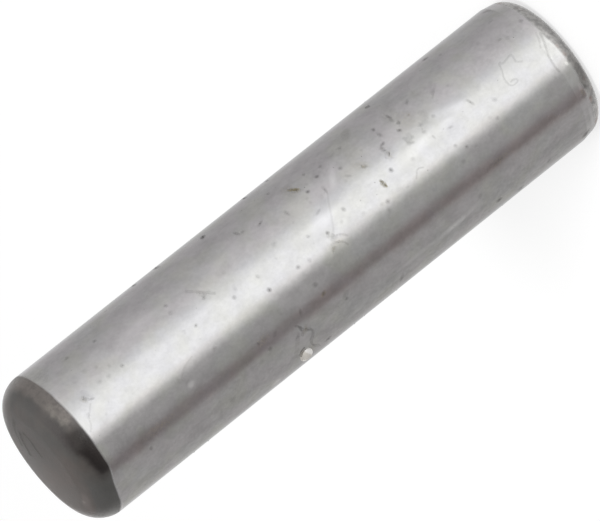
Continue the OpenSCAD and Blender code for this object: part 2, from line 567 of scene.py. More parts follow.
# The low ring as the lead's taper mirrors it: the rises and bearings where it is swung round, and
# by how many degrees.
LEAD_RISES = (-620, -420, 50)
LEAD_SIDE = (25, 110, 15)
LEAD_SWING = 9

# The bearings between which the studio passes behind the pin, the rises of the bright panel there,
# and how much brighter it is.
BEHIND = (128, 165)
BACKLIGHT_RISES = (-180, 180, 80)
BACKLIGHT_GAIN = 3.2

# The steep panels under the level: how much brighter they are all round and how much more behind
# the pin, the rises between which they end, and those between which the part behind the pin ends
# further down.
STEEP_GAIN = 0.12
UNDER_GAIN = 1.5
STEEP_ENDS = (-520, -380)
UNDER_ENDS = (-900, -650)


# ----------------------------------------------------------------------------------------------
# Settings
# ----------------------------------------------------------------------------------------------


class PinSizes(PropertyGroup):
    """The pin's sizes, which follow its CAD solid."""

    diameter: FloatProperty(
        name="Diameter",
        description="Across the ground wall",
        default=PIN_HIGH.x - PIN_LOW.x,
        unit="LENGTH",
    )
    length: FloatProperty(
        name="Length",
        description="From the foot to the top of the crown",
        default=PIN_HIGH.z - PIN_LOW.z,
        unit="LENGTH",
    )
    crown_corner: FloatProperty(
        name="Crown Corner",
        description="Radius between the wall and the crown",
        default=1.2 * MM,
        unit="LENGTH",
    )
    crown_dome: FloatProperty(
        name="Crown Dome",
        description="Radius of the slightly domed end",
        default=40 * MM,
        unit="LENGTH",
    )
    foot_corner: FloatProperty(
        name="Foot Corner",
        description="Radius between the lead and the flat foot",
        default=0.75 * MM,
        unit="LENGTH",
    )
    lead_length: FloatProperty(
        name="Lead Length",
        description="Length of the taper that leads the pin into its hole",
        default=0.45 * MM,
        unit="LENGTH",
    )
    lead_angle: FloatProperty(
        name="Lead Angle",
        description="Taper of the lead from the pin's axis",
        default=radians(10),
        subtype="ANGLE",
    )
    facets: IntProperty(
        name="Facets",
        description="Steps round the pin",
        default=320,
        min=32,
    )


class PinFinish(PropertyGroup):
    """Colours and gloss of the steel."""

    steel: FloatVectorProperty(
        name="Ground Steel",
        description="Colour of the ground wall",
        default=(0.70, 0.70, 0.715),
        subtype="COLOR",
    )
    steel_roughness: FloatProperty(
        name="Ground Roughness",
        description="Roughness of the ground wall",
        default=0.15,
        subtype="FACTOR",
    )
    scale_grey: FloatVectorProperty(
        name="Scale Grey",
        description="Grey of the heat scale on the crown",
        default=(0.048, 0.047, 0.044),
        subtype="COLOR",
    )
    scale_brown: FloatVectorProperty(
        name="Scale Brown",
        description="Brown of the heat scale, in patches and round the corner",
        default=(0.064, 0.050, 0.043),
        subtype="COLOR",
    )
    # Partly the scale's black, partly a painted dark reflection.
    scale_black: FloatVectorProperty(
        name="Scale Black And Dark Reflection",
        description="Darkest patch of the heat scale",
        default=(0.036, 0.029, 0.029),
        subtype="COLOR",
    )
    foot_grey: FloatVectorProperty(
        name="Foot Grey",
        description="Grey of the speckled foot",
        default=(0.305, 0.298, 0.288),
        subtype="COLOR",
    )
    scale_roughness: FloatProperty(
        name="Scale Roughness",
        description="Roughness of the heat scale",
        default=0.42,
        subtype="FACTOR",
    )


class DirtLook(PropertyGroup):
    """What lies on the pin."""

    smudge: FloatVectorProperty(
        name="Smudge",
        description="Colour of the soft smudges of oily dirt",
        default=(0.060, 0.056, 0.054),
        subtype="COLOR",
    )
    grit: FloatVectorProperty(
        name="Grit",
        description="Colour of the dark grains",
        default=(0.090, 0.082, 0.075),
        subtype="COLOR",
    )
    rust: FloatVectorProperty(
        name="Rust",
        description="Colour of the brown flecks",
        default=(0.220, 0.175, 0.055),
        subtype="COLOR",
    )
    fibre: FloatVectorProperty(
        name="Fibre",
        description="Colour of the lint fibres",
        default=(0.070, 0.062, 0.058),
        subtype="COLOR",
    )
    scratch: FloatVectorProperty(
        name="Scratch",
        description="Colour of the dirt in the crown's scratches",
        default=(0.020, 0.016, 0.015),
        subtype="COLOR",
    )
    film: FloatVectorProperty(
        name="Film Edge",
        description="Colour of the edges of dried oil film",
        default=(0.120, 0.105, 0.090),
        subtype="COLOR",
    )
    # Its pale colour is partly a painted highlight on the bead's front side.
    bead: FloatVectorProperty(
        name="Bead",
        description="Colour of the pale bead of set oil",
        default=(0.86, 0.84, 0.82),
        subtype="COLOR",
    )
    stray_grains: IntProperty(
        name="Stray Grains",
        description="Small grains scattered all over the pin",
        default=170,
        min=0,
    )
    stray_smudges: IntProperty(
        name="Stray Smudges",
        description="Faint smudges scattered all over the pin",
        default=110,
        min=0,
    )
    seed: IntProperty(
        name="Seed",
        description="Start of the scatter",
        default=7,
    )


class StudioLook(PropertyGroup):
    """The camera and the studio's light."""

    camera_elevation: FloatProperty(
        name="Camera Elevation",
        description="Angle of the camera above the level",
        default=radians(16.384),
        subtype="ANGLE",
    )
    camera_roll: FloatProperty(
        name="Camera Roll",
        description="Turn of the camera about its own axis",
        default=radians(-128.470),
        subtype="ANGLE",
    )
    camera_distance: FloatProperty(
        name="Camera Distance",
        description="From the camera to the point it looks at",
        default=282.835 * MM,
        unit="LENGTH",
    )
    camera_lens: FloatProperty(
        name="Lens",
        description="Focal length on a 36 mm sensor, in mm",
        default=448.877,
        unit="CAMERA",
    )
    camera_aim: FloatVectorProperty(
        name="Camera Aim",
        description="The point the camera looks at",
        default=(-0.0176 * MM, 0.0137 * MM, 12.846 * MM),
        subtype="TRANSLATION",
    )
    floor: FloatVectorProperty(
        name="Floor",
        description="Colour of the pale floor",
        default=(0.80, 0.80, 0.80),
        subtype="COLOR",
    )
    floor_radius: FloatProperty(
        name="Floor Radius",
        description="Radius of the round floor",
        default=1.2,
        unit="LENGTH",
    )
    sky_level: FloatProperty(
        name="Sky Level",
        description="Even light from all round on unpolished surfaces",
        default=0.60,
    )
    key_power: FloatProperty(
        name="Key Power",
        description="Power of the soft key lamp",
        default=2.95,
        unit="POWER",
    )


# ----------------------------------------------------------------------------------------------
# Modelling helpers
# ----------------------------------------------------------------------------------------------


def select_nothing():
    """Leaves edit mode and deselects everything, the loaded CAD nodes included."""
    if bpy.context.mode != "OBJECT":
        bpy.ops.object.mode_set(mode="OBJECT")
    bpy.ops.object.select_all(action="DESELECT")


def select_only(piece):
    """Selects one object and makes it the active one."""
    select_nothing()
    piece.select_set(True)
    bpy.context.view_layer.objects.active = piece


def edit_all():
    """Enters edit mode with the whole mesh selected."""
    bpy.ops.object.mode_set(mode="EDIT")
    bpy.ops.mesh.select_all(action="SELECT")


def start_point(name, place):
    """Adds a mesh of one point and leaves it open in edit mode."""
    select_nothing()
    bpy.ops.mesh.primitive_plane_add(size=MM, location=place)
    piece = bpy.context.active_object
    piece.name = name
    piece.data.name = name
    bpy.ops.object.transform_apply(location=True, rotation=True, scale=True)
    bpy.ops.object.mode_set(mode="EDIT")
    bpy.ops.mesh.select_mode(type="VERT")
    bpy.ops.mesh.select_all(action="SELECT")
    bpy.ops.mesh.merge(type="CENTER")
    return piece


def extrude_line(run, count=1):
    """Extrudes the selected point along a run, in equal parts."""
    for _ in range(count):
        bpy.ops.mesh.extrude_vertices_move(TRANSFORM_OT_translate={"value": run / count})


def spin_arc(centre, angle, count):
    """Spins the selected point through an arc in the XZ plane."""
    bpy.ops.mesh.spin(steps=count, angle=angle, center=centre, axis=(0, 1, 0))


def close_and_smooth(piece, sharp_angle):
    """Merges doubles, turns the faces outwards and shades them smooth up to an angle."""
    bpy.ops.mesh.select_all(action="SELECT")
    bpy.ops.mesh.remove_doubles(threshold=MERGE_DISTANCE)
    bpy.ops.mesh.normals_make_consistent(inside=False)
    select_only(piece)
    bpy.ops.object.shade_smooth_by_angle(angle=sharp_angle)


def seat(pin, height, bearing):
    """The point of the pin's surface nearest a height and bearing, with its outward normal."""
    turn = radians(bearing)
    outward = Vector((-sin(turn), -cos(turn), 0))
    beside = outward * PIN_HIGH.x + Vector((0, 0, height * MM))
    found, point, normal, _ = pin.closest_point_on_mesh(beside)
    if not found:
        raise RuntimeError(f"nothing to sit on at height {height} mm")
    return point, normal


def seat_matrix(point, normal, turn):
    """A placement with Z along the normal and X turned from the pin's own axis."""
    up = Vector((0, 0, 1))
    along = (up - normal * up.dot(normal)).normalized()
    across = normal.cross(along)
    basis = Matrix((along, across, normal)).transposed().to_4x4()
    return Matrix.Translation(point) @ basis @ Matrix.Rotation(radians(turn), 4, "Z")


def sizing(size):
    """A scaling of a unit piece to its sizes in mm along the three axes."""
    return Matrix.Diagonal((*(length * MM for length in size), 1))


def copy_at(master, place, size):
    """Copies a unit piece, mesh and all, to a place with its sizes in mm along the three axes."""
    twin = master.copy()
    twin.data = master.data.copy()
    bpy.context.collection.objects.link(twin)
    twin.matrix_world = place @ sizing(size)
    return twin


def join_as(name, parts):
    """Joins pieces into one, with its place in its mesh."""
    select_nothing()
    for part in parts:
        part.select_set(True)
    bpy.context.view_layer.objects.active = parts[0]
    bpy.ops.object.transform_apply(location=True, rotation=True, scale=True)
    if len(parts) > 1:
        bpy.ops.object.join()
    piece = bpy.context.active_object
    piece.name = name
    piece.data.name = name
    return piece


def remove(masters):
    """Deletes masters that have been copied."""
    for master in masters:
        select_only(master)
        bpy.ops.object.delete()


def declare(piece, material):
    """Gives a finished piece its material and the body that it rides on."""
    piece.data.materials.clear()
    piece.data.materials.append(material)
    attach(piece, BODY)


# ----------------------------------------------------------------------------------------------
# Shader helpers
# ----------------------------------------------------------------------------------------------

# Where the Mix node has its factor, its two colours and their mix.
MIX_FACTOR = 0
MIX_FIRST = 6
MIX_SECOND = 7
MIX_RESULT = 2


class Value:
    """What a shader node gives out. Those that are numbers are open to plain arithmetic."""

    def __init__(self, socket):
        self.socket = socket
        self.tree = socket.id_data

    def __add__(self, other):
        return calc("ADD", self, other)

    def __sub__(self, other):
        return calc("SUBTRACT", self, other)

    def __rsub__(self, other):
        return calc("SUBTRACT", other, self)

    def __mul__(self, other):
        return calc("MULTIPLY", self, other)

    def __truediv__(self, other):
        return calc("DIVIDE", self, other)

    def __abs__(self):
        return calc("ABSOLUTE", self)

    __radd__ = __add__
    __rmul__ = __mul__


def add(tree, kind, **options):
    """Adds a shader node and sets its options."""
    node = tree.nodes.new("ShaderNode" + kind)
    for name, value in options.items():
        setattr(node, name, value)
    return node


def feed(socket, source):
    """Links a socket to a value, or sets it to plain numbers."""
    if isinstance(source, Value):
        source.tree.links.new(source.socket, socket)
    else:
        socket.default_value = source


def outputs_of(node):
    """A node's outputs as values, by their names in lower case."""
    named = {socket.name.lower().replace(" ", "_"): Value(socket) for socket in node.outputs}
    return SimpleNamespace(**named)


def tree_of(sources):
    """The tree that the values among the sources belong to."""
    return next(source.tree for source in sources if isinstance(source, Value))


def worked(kind, output, sources, **options):
    """A value that a new node works out from what its sockets are fed."""
    node = add(tree_of(sources.values()), kind, **options)
    for label, source in sources.items():
        feed(node.inputs[label], source)
    return Value(node.outputs[output])


def calc(operation, *sources):
    """The result of a Math node."""
    return worked("Math", 0, dict(enumerate(sources)), operation=operation)


def ease(value, start, end, low=0.0, high=1.0):
    """A value that goes smoothly from low at start to high at end."""
    sources = {"Value": value, "From Min": start, "From Max": end, "To Min": low, "To Max": high}
    return worked("MapRange", "Result", sources, interpolation_type="SMOOTHSTEP")


def between(value, start, end, soft):
    """1 inside a range of a value and 0 outside it, with soft ends."""
    return ease(value, start - soft, start + soft) * ease(value, end - soft, end + soft, 1.0, 0.0)


def patchy(noisy, reach, low=0.0, high=1.0):
    """Noise as soft patches: it goes from low to high within a reach of its middle."""
    return ease(noisy, 0.5 - reach, 0.5 + reach, low, high)


def wobbled(value, noisy, reach):
    """A value that noise shifts by up to a reach to either side."""
    return noisy * (2 * reach) + (value - reach)


def mix(factor, first, second):
    """Two colours or two numbers mixed by a factor."""
    sources = {MIX_FACTOR: factor, MIX_FIRST: first, MIX_SECOND: second}
    return worked("Mix", MIX_RESULT, sources, data_type="RGBA")


def noise(vector, scale, detail=2.0, roughness=0.5):
    """Soft noise from 0 to 1."""
    sources = {"Vector": vector, "Scale": scale, "Detail": detail, "Roughness": roughness}
    return worked("TexNoise", "Fac", sources)


def scaled(vector, factor):
    """A vector or a colour times one number."""
    return worked("VectorMath", 0, {0: vector, "Scale": factor}, operation="SCALE")


def stretch(vector, scales):
    """A vector scaled along each axis, to draw a pattern out."""
    return worked("Mapping", "Vector", {"Vector": vector, "Scale": scales})


def bump(height, distance, normal=None):
    """A bump of a distance in mm, over another one if there is one."""
    sources = {"Strength": 1.0, "Distance": distance * MM, "Height": height}
    if normal is not None:
        sources["Normal"] = normal
    return worked("Bump", "Normal", sources)


def rgba(colour):
    """A colour with its alpha."""
    return (*colour, 1.0)


def tinted(colour, tint):
    """A colour times a tint, part by part, with its alpha."""
    return rgba(part * share for part, share in zip(colour, tint))


def shaded(colour, share):
    """A colour times one share, with its alpha."""
    return tinted(colour, (share,) * 3)


def new_group(name, inputs, outputs):
    """An empty shader group with its sockets: the group, its inputs as values, its outputs."""
    group = bpy.data.node_groups.new(name, "ShaderNodeTree")
    for in_out, sockets in (("INPUT", inputs), ("OUTPUT", outputs)):
        for label, kind in sockets.items():
            group.interface.new_socket(name=label, in_out=in_out, socket_type="NodeSocket" + kind)
    given = outputs_of(group.nodes.new("NodeGroupInput"))
    return group, given, group.nodes.new("NodeGroupOutput").inputs


def shared_group(name, build):
    """A shader group by its name, built when it is first asked for."""
    return bpy.data.node_groups.get(name) or build(name)


def use_group(group, **sources):
    """Places a group with its own values, and gives its outputs as values."""
    node = add(tree_of(sources.values()), "Group", node_tree=group)
    for label, source in sources.items():
        feed(node.inputs[label.replace("_", " ").title()], source)
    return outputs_of(node)


def new_material(name):
    """An empty material, with its Principled shader's sockets and its object coordinates."""
    material = bpy.data.materials.new(name)
    material.use_nodes = True
    tree = material.node_tree
    shader = next(node for node in tree.nodes if node.type == "BSDF_PRINCIPLED")
    return material, shader.inputs, outputs_of(add(tree, "TexCoord")).object


# ----------------------------------------------------------------------------------------------
# Shader groups
# ----------------------------------------------------------------------------------------------


def pin_place_group(name):
    """Group: height in mm, bearing in degrees and radius in mm of a point of the pin."""
    outputs = {"Position": "Vector", "Height": "Float", "Bearing": "Float", "Radius": "Float"}
    group, given, gives = new_group(name, {"Vector": "Vector"}, outputs)
    position = scaled(given.vector, 1 / MM)
    axes = add(group, "SeparateXYZ")
    feed(axes.inputs[0], position)
    x, y, z = (Value(socket) for socket in axes.outputs)
    feed(gives["Position"], position)
    feed(gives["Height"], z)
    feed(gives["Bearing"], calc("DEGREES", calc("ARCTAN2", x * -1, y * -1)))
    feed(gives["Radius"], calc("SQRT", x * x + y * y))
    return group


def pin_place(vector):
    """Where a point lies on the pin: its position, height, bearing and radius."""
    return use_group(shared_group("Pin Place", pin_place_group), vector=vector)


def mottle_group(name):
    """Group: soft blotches from 0 to 1, and a fine grain for bumps."""
    inputs = {"Vector": "Vector", "Blotch Scale": "Float", "Grain Scale": "Float"}
    group, given, gives = new_group(name, inputs, {"Blotch": "Float", "Grain": "Float"})
    blotch = noise(given.vector, given.blotch_scale, detail=3.0)
    feed(gives["Blotch"], patchy(blotch, 0.14))
    feed(gives["Grain"], noise(given.vector, given.grain_scale, detail=4.0, roughness=0.6))
    return group


def film_and_sheen_patch_group(name):
    """Group: a soft oval patch on the wall, 1 at its middle and 0 outside it."""
    labels = (
        "Height", "Bearing", "Wobble", "Wall Radius", "At Height", "At Bearing", "Length", "Width",
        "Turn",
    )
    group, given, gives = new_group(name, dict.fromkeys(labels, "Float"), {"Mask": "Float"})
    up = given.height - given.at_height
    round_the_pin = (given.bearing - given.at_bearing) * given.wall_radius * radians(1)
    cosine = calc("COSINE", given.turn)
    sine = calc("SINE", given.turn)
    far_along = (round_the_pin * sine + up * cosine) / (given.length * 0.5)
    far_across = (round_the_pin * cosine - up * sine) / (given.width * 0.5)
    reach = calc("SQRT", far_along * far_along + far_across * far_across) + given.wobble
    feed(gives["Mask"], ease(reach, 0.1, 1.0, 1.0, 0.0))
    return group


def dirt_group(name):
    """Group: dirt mottled between a dark and a light colour, and unevenly dense."""
    inputs = {"Vector": "Vector", "Scale": "Float", "Dark": "Color", "Light": "Color"}
    outputs = {"Colour": "Color", "Cloud": "Float", "Alpha": "Float"}
    group, given, gives = new_group(name, inputs | {"Density": "Float"}, outputs)
    cloud = noise(given.vector, given.scale, detail=3.0)
    feed(gives["Colour"], mix(patchy(cloud, 0.15), given.dark, given.light))
    feed(gives["Cloud"], cloud)
    feed(gives["Alpha"], given.density * patchy(cloud, 0.20, 0.7, 1.3))
    return group


# ----------------------------------------------------------------------------------------------
# Materials
# ----------------------------------------------------------------------------------------------


def crown_mask(place, blotch, sizes):
    """1 on the crown and its corner, 0 below the edge that grinding left."""
    start = crown_start(sizes) / MM + GROUND_START
    edge = between(place.bearing, *OVERCUT) * OVERCUT_RISE + blotch * GROUND_WOBBLE + start
    return ease(place.height - edge, *GROUND_FADE)


def foot_mask(place, blotch, sizes):
    """1 on the foot's corner and flat, 0 on the lead and the wall."""
    start = foot_rise(sizes) / MM + SPECKLE_START
    edge = between(place.bearing, *CLEAN_FOOT) * CLEAN_FOOT_RISE + blotch * SPECKLE_WOBBLE + start
    return ease(place.height - edge, *SPECKLE_FADE, 1.0, 0.0)


def film_and_sheen_gain(place, ragged, sizes):
    """How much brighter or darker patches of film and painted highlights and shade make the wall."""
    group = shared_group("Film And Sheen Patch", film_and_sheen_patch_group)
    here = {"height": place.height, "bearing": place.bearing, "wobble": ragged - 0.5}
    total = 0.0
    for height, bearing, length, width, turn, gain in FILM_AND_SHEEN_PATCHES:
        patch = use_group(
            group,
            **here,
            wall_radius=sizes.diameter / 2 / MM,
            at_height=height,
            at_bearing=bearing,
            length=length,
            width=width,
            turn=radians(turn),
        )
        total = patch.mask * gain + total
    return total


def wall_metal(place, mottle, finish):
    """The colour of the ground steel: tinted by pools of oil, and rosy along the shaded stripe."""
    metal = mix(mottle.blotch, rgba(finish.steel), tinted(finish.steel, YELLOW_OIL))
    pools = patchy(noise(place.position, scale=0.8), 0.10)
    oily = pools * (1 - between(place.bearing, *BRIGHT_STRIPE))
    metal = mix(oily, metal, tinted(finish.steel, ROSY_OIL))
    reddened = noise(stretch(place.position, (1.0, 1.0, 0.6)), scale=1.3, detail=3.0)
    red = ease(reddened, *RED_SETS_IN) * between(place.bearing, *RED_STRIPE)
    return mix(red, metal, tinted(finish.steel, RED_OIL))


def wall_colour(place, mottle, sizes, finish):
    """Ground steel under a thin, uneven film of oil, with highlights and shade painted in its colour.
    """
    clouds = noise(stretch(place.position, (1.9, 1.9, 1.3)), scale=1.0, detail=4.0, roughness=0.6)
    specks = noise(place.position, scale=6.5)
    calm = between(place.bearing, *CALM_STRIPE) * -CALM_LOSS + 1
    uneven = ease(place.bearing, *ROUGH_SIDE) * ROUGH_GAIN + calm
    cloudy = patchy(clouds, 0.20, -CLOUD_REACH, CLOUD_REACH) * uneven
    fine = patchy(specks, 0.20, -SPECK_REACH, SPECK_REACH) * uneven
    # A stripe of painted shade darkens the steel's reflection towards the crown.
    shade = ease(place.height, *DARK_STRIPE_GROWS) * between(place.bearing, *PAINTED_SHADE_STRIPE)
    level = shade * -DARK_STRIPE_LOSS + WALL_GAIN
    # The patches add film and also painted highlights, glints and shade.
    gain = level + (cloudy + fine) + film_and_sheen_gain(place, specks, sizes)
    return scaled(wall_metal(place, mottle, finish), gain)


def crown_flecks(place):
    """1 on the crown's ragged pale flecks, and 0 beside them."""
    ragged = noise(place.position, scale=3.4) * CROWN_FLECK_WANDER
    total = 0.0
    for middle, size in CROWN_FLECKS:
        away = worked("VectorMath", "Value", {0: place.position, 1: middle}, operation="DISTANCE")
        end = CROWN_FLECK_CORE + CROWN_FLECK_FADE * size
        fleck = ease(ragged + away, CROWN_FLECK_CORE, end, 1.0, 0.0)
        total = calc("MAXIMUM", total, fleck)
    return total


def crown_face(place, mottle, ragged, finish):
    """Grey scale, browned on one side, with a lighter bow round the browned side."""
    browned = (mottle.blotch + between(place.bearing, *BROWNED_SIDE)) * 0.5
    olive = ease(place.radius, *OLIVE_RADII) * between(place.bearing, *OLIVE_RIM)
    face = mix(browned * (1 - olive), rgba(finish.scale_grey), rgba(finish.scale_brown))
    face = scaled(face, patchy(ragged, 0.20, 0.90, 1.10))
    face = scaled(face, ease(place.radius, *CROWN_LIGHTENS))
    bow = between(place.radius, *BOW_RADII) * between(place.bearing, *BOW)
    return mix(bow, face, tinted(finish.scale_brown, PALE_BOW))


def crown_colour(place, mottle, black, finish):
    """The crown's face, with a pale mottled rim on one side and a black patch towards the front."""
    ragged = noise(place.position, scale=2.2, detail=3.0)
    flecked = noise(place.position, scale=4.5, detail=3.0)
    across = wobbled(place.radius, ragged, RIM_WANDER)
    around = wobbled(place.bearing, ragged, RING_WANDER)
    face = crown_face(place, mottle, ragged, finish)

    # The pale rim and its cream stretch: partly pale scale, partly a painted highlight.
    inner = between(around, *THIN_RIM) * THIN_RIM_LOSS + RIM_RADIUS
    rim = ease(across - inner, *RIM_FADE)
    pale = rim * between(place.bearing, *PALE_RIM) * ease(flecked, *PALE_MOTTLING)
    colour = mix(pale, face, tinted(finish.scale_brown, PALE_SCALE_AND_HIGHLIGHT))
    cream = rim * between(place.bearing, *CREAM_RIM) * ease(flecked, *CREAM_MOTTLING)
    colour = mix(cream, colour, tinted(finish.scale_brown, CREAM_SCALE_AND_HIGHLIGHT))
    flecks = crown_flecks(place) * CROWN_FLECKS_SHOW
    colour = mix(flecks, colour, tinted(finish.scale_brown, FLECK_SCALE))

    ring = between(across, *BLACK_RING_RADII) * between(around, *BLACK_RING)
    deep = between(around, *DEEP_RING) * DEEP_RING_GAIN + RING_SHOWS
    colour = mix(ring * deep, colour, rgba(finish.scale_black))
    # The black patch: partly dark scale, partly a painted dark reflection.
    return mix(black, colour, rgba(finish.scale_black))


def black_patch(place):
    """Blackness of scale and painted dark reflection: most over the crown's corner, less towards its
    face.
    """
    ragged = noise(place.position, scale=1.6)
    height = wobbled(place.height, ragged, BLACK_TOP_WANDER)
    around = wobbled(place.bearing, ragged, BLACK_SIDE_WANDER)
    inside = ease(ease(around, *BLACK_TOP_FALLS) - height, 0.0, BLACK_FADE)
    return inside * ease(around, *BLACK_DEEPENS) * between(around, *BLACK_PATCH)


def foot_colour(place, finish):
    """Mid grey, finely speckled, with rust-red spots, and painted light: a darker stretch, paler
    sides, a glint.
    """
    dark = tinted(finish.foot_grey, DARK_FOOT)
    speckle = noise(place.position, scale=5.5, roughness=0.6)
    colour = mix(patchy(speckle, 0.18), dark, tinted(finish.foot_grey, LIGHT_FOOT))
    rusty = ease(noise(place.position, scale=1.6, detail=1.0), *RUST_SETS_IN) * RUSTY_SHOWS
    colour = mix(rusty, colour, tinted(finish.foot_grey, RUSTY_FOOT))
    # A darker stretch of painted shade.
    colour = mix(between(place.bearing, *DARK_FOOT_SIDE) * DARK_FOOT_SHOWS, colour, dark)
    # Paler sides and underside: a painted sheen.
    under = ease(place.height, *FOOT_UNDERSIDE) * UNDERSIDE_GAIN + FOOT_PALE_GAIN
    paler = ease(abs(place.bearing - FOOT_MIDDLE), *FOOT_PALES) * under
    # A painted glint.
    glint = between(place.bearing, *FOOT_GLINT) * ease(place.height, *FOOT_GLINT_HEIGHTS)
    return scaled(colour, glint * FOOT_GLINT_GAIN + (paler + 1))


def steel_material(sizes, finish):
    """Bright ground steel, with dark heat scale on the two ends and painted light in its colour."""
    material, sockets, coordinates = new_material("ground_steel")
    place = pin_place(coordinates)
    group = shared_group("Mottle", mottle_group)
    mottle = use_group(group, vector=place.position, blotch_scale=0.9, grain_scale=14.0)
    crown = crown_mask(place, mottle.blotch, sizes)
    foot = foot_mask(place, mottle.blotch, sizes)
    scale = calc("MAXIMUM", crown, foot)

    black = black_patch(place)
    dust = patchy(mottle.grain, 0.15, 0.0, DUST_SHOWS) * (1 - black)
    oxide = mix(dust, crown_colour(place, mottle, black, finish), rgba(OXIDE_DUST))
    colour = mix(crown, wall_colour(place, mottle, sizes, finish), oxide)
    feed(sockets["Base Color"], mix(foot, colour, foot_colour(place, finish)))
    feed(sockets["Metallic"], 1 - scale * (black * -BLACK_METALLIC + 1))
    feed(sockets["IOR"], SCALE_IOR)

    lines = noise(stretch(place.position, (0.3, 0.3, 30.0)), scale=1.0, detail=3.0)
    smooth = wobbled(finish.steel_roughness, lines, LINES_ROUGHEN)
    rough = wobbled(finish.scale_roughness, mottle.grain, GRAIN_ROUGHENS)
    feed(sockets["Roughness"], mix(scale, smooth, rough))
    grainy = mottle.grain * (foot * -FOOT_GRAIN_LOSS + scale)
    feed(sockets["Normal"], steel_bumps(place.position, grainy, lines))
    return material


def steel_bumps(position, grainy, lines):
    """Fine grinding lines and a slow ripple on the wall, and a grain on the scale."""
    ripple = noise(stretch(position, (0.7, 0.7, 0.45)), scale=1.0)
    rippled = bump(ripple, RIPPLE_DEPTH)
    ground = bump(lines, LINE_DEPTH, rippled)
    return bump(grainy, SCALE_DEPTH, ground)


def mottled_dirt(coordinates, colour, scale, dark, light, density=1.0):
    """Dirt from the shared group, mottled between two shares of its own colour."""
    return use_group(
        shared_group("Mottled Dirt", dirt_group),
        vector=coordinates,
        scale=scale,
        dark=shaded(colour, dark),
        light=shaded(colour, light),
        density=density,
    )


def smudge_material(name, colour, roughness):
    """Soft dirt as dense as its mesh says, mottled in its own colour."""
    material, sockets, coordinates = new_material(name)
    attribute = add(coordinates.tree, "Attribute", attribute_type="GEOMETRY")
    attribute.attribute_name = DENSITY_NAME
    density = outputs_of(attribute).fac
    dirt = mottled_dirt(coordinates, colour, scale=22000, dark=0.7, light=1.4, density=density)
    feed(sockets["Base Color"], dirt.colour)
    feed(sockets["Alpha"], dirt.alpha)
    feed(sockets["Roughness"], roughness)
    return material


def grit_material(look):
    """Dull grit, mottled in its own colour."""
    material, sockets, coordinates = new_material("grit")
    dirt = mottled_dirt(coordinates, look.grit, scale=20000, dark=0.6, light=1.7)
    feed(sockets["Base Color"], dirt.colour)
    feed(sockets["Roughness"], wobbled(GRIT_ROUGHNESS, dirt.cloud, DIRT_ROUGHENS))
    feed(sockets["Normal"], bump(dirt.cloud, GRIT_DEPTH))
    return material


def bead_material(look):
    """Set oil: pale with a painted highlight on the side that faces the front, and beige behind."""
    material, sockets, coordinates = new_material("bead")
    place = pin_place(coordinates)
    cloud = noise(place.position, scale=8.0)
    up = place.height - BEAD_HEIGHT
    # The pale front side is a painted highlight; beige behind it.
    behind = ease(cloud * BEAD_WANDER + place.bearing + up * BEAD_SLANT, *BEAD_BEIGE)
    colour = mix(behind, rgba(look.bead), tinted(look.bead, BEIGE_OIL))
    feed(sockets["Base Color"], scaled(colour, ease(up, *BEAD_DULL_END)))
    feed(sockets["Roughness"], wobbled(BEAD_ROUGHNESS, cloud, DIRT_ROUGHENS))
    return material


# ----------------------------------------------------------------------------------------------
# The pin
# ----------------------------------------------------------------------------------------------


def crown_start(sizes):
    """Height at which the crown's corner leaves the wall."""
    reach = sizes.crown_dome - sizes.crown_corner
    offset = sizes.diameter / 2 - sizes.crown_corner
    return sizes.length - sizes.crown_dome + sqrt(reach**2 - offset**2)


def foot_rise(sizes):
    """Height at which the foot's corner meets the lead."""
    return sizes.foot_corner * (1 - sin(sizes.lead_angle))


def trace_half_section(sizes):
    """Draws the pin's half section, from the middle of the foot to the top of the crown."""
    radius = sizes.diameter / 2
    lead_run = Vector((tan(sizes.lead_angle) * sizes.lead_length, 0, sizes.lead_length))
    flat = radius - lead_run.x - sizes.foot_corner * cos(sizes.lead_angle)
    wall_top = crown_start(sizes)
    wall_run = Vector((0, 0, wall_top - foot_rise(sizes) - sizes.lead_length))
    corner_x = radius - sizes.crown_corner
    dome_angle = asin(corner_x / (sizes.crown_dome - sizes.crown_corner))

    extrude_line(Vector((flat, 0, 0)), FOOT_STEPS)
    spin_arc((flat, 0, sizes.foot_corner), pi / 2 - sizes.lead_angle, FOOT_CORNER_STEPS)
    extrude_line(lead_run, LEAD_STEPS)
    extrude_line(wall_run, WALL_STEPS)
    spin_arc((corner_x, 0, wall_top), pi / 2 - dome_angle, CROWN_CORNER_STEPS)
    spin_arc((0, 0, sizes.length - sizes.crown_dome), dome_angle, DOME_STEPS)


class MakePin(Operator):
    """Spins the pin from its half section and gives it ground steel and heat scale"""

    bl_idname = "dowel_pin.make_pin"
    bl_label = "Pin"

    def execute(self, context):
        sizes = context.scene.pin_sizes
        pin = start_point("pin", (0, 0, PIN_LOW.z))
        trace_half_section(sizes)
        bpy.ops.mesh.select_all(action="SELECT")
        bpy.ops.mesh.spin(steps=sizes.facets, angle=2 * pi, center=(0, 0, 0), axis=(0, 0, 1))
        close_and_smooth(pin, PIN_SHARP_ANGLE)
        declare(pin, steel_material(sizes, context.scene.pin_finish))
        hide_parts(PIN_NODE)
        return {"FINISHED"}


# ----------------------------------------------------------------------------------------------
# Dirt and oil
# ----------------------------------------------------------------------------------------------


def model_fleck(name, seed):
    """A flattened, ragged fleck, one unit across."""
    select_nothing()
    bpy.ops.mesh.primitive_ico_sphere_add(subdivisions=2, radius=0.5)
    fleck = bpy.context.active_object
    fleck.name = name
    edit_all()
    bpy.ops.transform.resize(value=(1, 1, FLECK_FLATNESS))
    bpy.ops.transform.vertex_random(offset=FLECK_RAGGEDNESS, seed=seed)
    bpy.ops.mesh.normals_make_consistent(inside=False)
    select_only(fleck)
    bpy.ops.object.shade_smooth()
    return fleck


